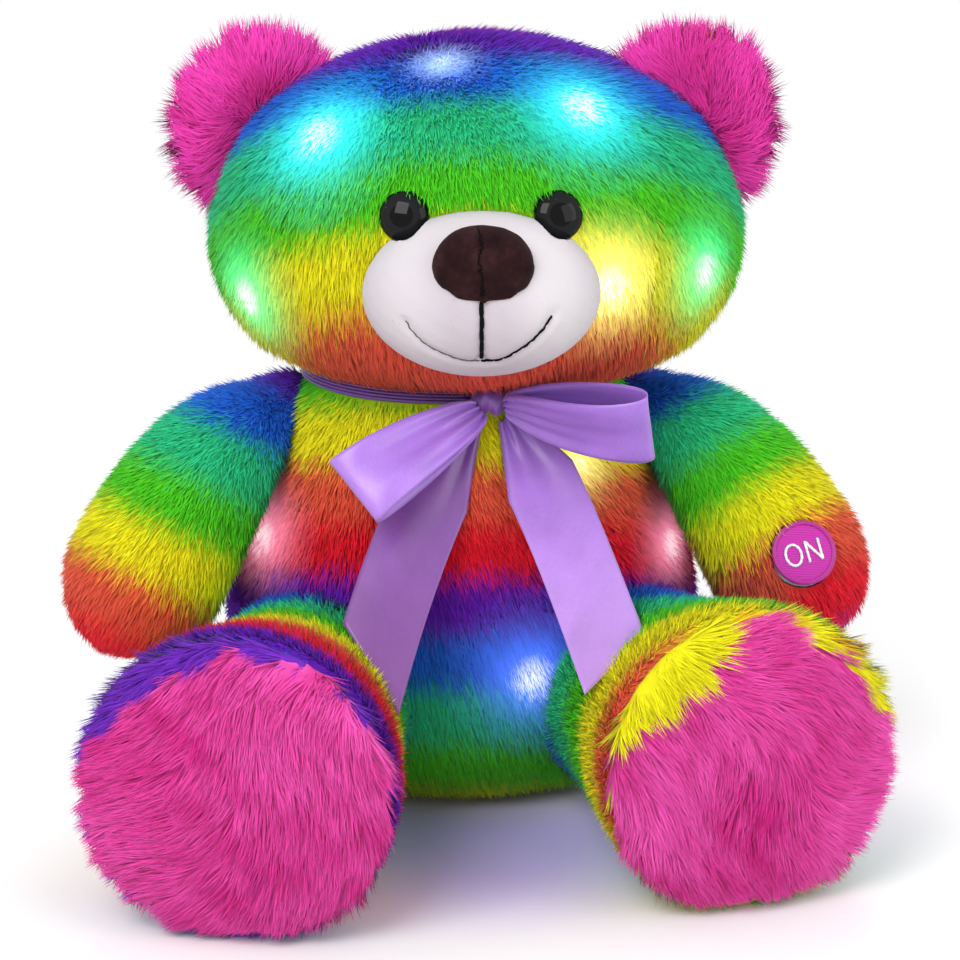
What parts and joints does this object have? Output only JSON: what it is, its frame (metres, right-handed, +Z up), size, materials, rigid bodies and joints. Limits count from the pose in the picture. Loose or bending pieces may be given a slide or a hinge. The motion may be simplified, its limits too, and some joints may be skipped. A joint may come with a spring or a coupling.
{
  "type": "plush night light",
  "caption": "Seated plush bear with a satin bow, lights under its striped cover, a press switch in one hand and a battery box behind a zip in its back.",
  "frame": {"origin": "middle of the bear's overall box, on the surface it sits on", "axes": "+Z up, -Y the way the bear faces, +X the bear's left hand, which holds the switch"},
  "size_m": [0.2628, 0.2318, 0.255],
  "materials": {
    "striped_plush": "short pile dyed in soft bands of violet, blue, teal, green, yellow, orange and red",
    "pink_plush": "long hot-pink pile",
    "white_velboa": "very short white pile",
    "brown_suede": "dark brown suede cloth",
    "lavender_satin": "satin ribbon",
    "patch_cloth": "magenta embroidered cloth with a stitched rim",
    "fibre_stuffing": "white polyester fibre",
    "pouch_cloth": "plain woven lining",
    "eye_plastic": "glossy black",
    "black_plastic": "matte black",
    "white_plastic": "matte white",
    "led_lens": "clear epoxy, lit from inside",
    "lead_insulation": "thin white insulation",
    "zip_tape": "woven zip tape",
    "zip_chain": "moulded zip teeth",
    "zip_metal": "plated zip slider and pull",
    "contact_steel": "nickel-plated steel",
    "cell_jacket": "plain dark jacket",
    "board": "green circuit board"
  },
  "bodies": {
    "torso": {"torso_cover": "striped_plush", "torso_stuffing": "fibre_stuffing", "zip_tape": "zip_tape", "zip_chain": "zip_chain", "battery_pouch": "pouch_cloth", "battery_tray": "black_plastic", "battery_cover": "black_plastic", "battery_cover_screw": "contact_steel", "battery_cell_1": "cell_jacket", "battery_cell_2": "cell_jacket", "battery_cell_3": "cell_jacket", "battery_contacts_top": "contact_steel", "battery_contacts_bottom": "contact_steel", "control_board": "board", "torso_led_wires": "lead_insulation", "torso_led_1": "led_lens", "torso_led_2": "led_lens", "torso_led_3": "led_lens", "torso_led_4": "led_lens", "neck_ribbon": "lavender_satin", "bow_knot": "lavender_satin", "bow_loop_left": "lavender_satin", "bow_loop_right": "lavender_satin", "bow_tail_left": "lavender_satin", "bow_tail_right": "lavender_satin"},
    "zip_slider": {"zip_slider": "zip_metal"},
    "zip_pull": {"zip_pull": "zip_metal"},
    "head": {"head_cover": "striped_plush", "head_stuffing": "fibre_stuffing", "muzzle": "white_velboa", "nose": "brown_suede", "eye_left": "eye_plastic", "eye_right": "eye_plastic", "eye_washer_left": "white_plastic", "eye_washer_right": "white_plastic", "ear_left_front": "pink_plush", "ear_left_back": "striped_plush", "ear_right_front": "pink_plush", "ear_right_back": "striped_plush", "head_led_wires": "lead_insulation", "head_led_1": "led_lens", "head_led_2": "led_lens", "head_led_3": "led_lens", "head_led_4": "led_lens", "head_led_5": "led_lens", "head_led_6": "led_lens"},
    "left_arm": {"left_arm_cover": "striped_plush", "left_arm_stuffing": "fibre_stuffing"},
    "right_arm": {"right_arm_cover": "striped_plush", "right_arm_stuffing": "fibre_stuffing", "switch_housing": "white_plastic", "switch_lead": "lead_insulation"},
    "on_button": {"on_patch": "patch_cloth", "switch_plunger": "white_plastic"},
    "left_leg": {"left_leg_cover": "striped_plush", "left_leg_stuffing": "fibre_stuffing", "left_sole_pad": "pink_plush"},
    "right_leg": {"right_leg_cover": "striped_plush", "right_leg_stuffing": "fibre_stuffing", "right_sole_pad": "pink_plush"}
  },
  "joints": [
    {"name": "head_turn", "type": "hinge", "parent": "torso", "child": "head", "pos_m": [0, 0.0499, 0.146], "axis": [0, 0, 1], "range_deg": [-20, 20], "stiffness_Nm_per_rad": 0.4},
    {"name": "left_arm_swing", "type": "hinge", "parent": "torso", "child": "left_arm", "pos_m": [-0.06158, 0.0499, 0.11768], "axis": [-0.8988, 0, 0.4384], "range_deg": [-12, 45], "stiffness_Nm_per_rad": 0.25},
    {"name": "right_arm_swing", "type": "hinge", "parent": "torso", "child": "right_arm", "pos_m": [0.06158, 0.0499, 0.11768], "axis": [-0.8988, 0, -0.4384], "range_deg": [-12, 45], "stiffness_Nm_per_rad": 0.25},
    {"name": "left_leg_swing", "type": "hinge", "parent": "torso", "child": "left_leg", "pos_m": [-0.05, 0.0139, 0.042], "axis": [0.7326, 0.6147, 0.2924], "range_deg": [0, 25], "stiffness_Nm_per_rad": 0.4},
    {"name": "right_leg_swing", "type": "hinge", "parent": "torso", "child": "right_leg", "pos_m": [0.05, 0.0139, 0.042], "axis": [0.7326, -0.6147, -0.2924], "range_deg": [0, 25], "stiffness_Nm_per_rad": 0.4},
    {"name": "on_button_press", "type": "slide", "parent": "right_arm", "child": "on_button", "axis": [-0.047, 0.9049, -0.423], "range_m": [0, 0.0015], "stiffness_N_per_m": 400},
    {"name": "zip_slide", "type": "slide", "parent": "torso", "child": "zip_slider", "axis": [0, 0, -1], "range_m": [0, 0.052]},
    {"name": "zip_pull_swing", "type": "hinge", "parent": "zip_slider", "child": "zip_pull", "pos_m": [0, 0.1141, 0.091], "axis": [1, 0, 0], "range_deg": [0, 160]}
  ]
}
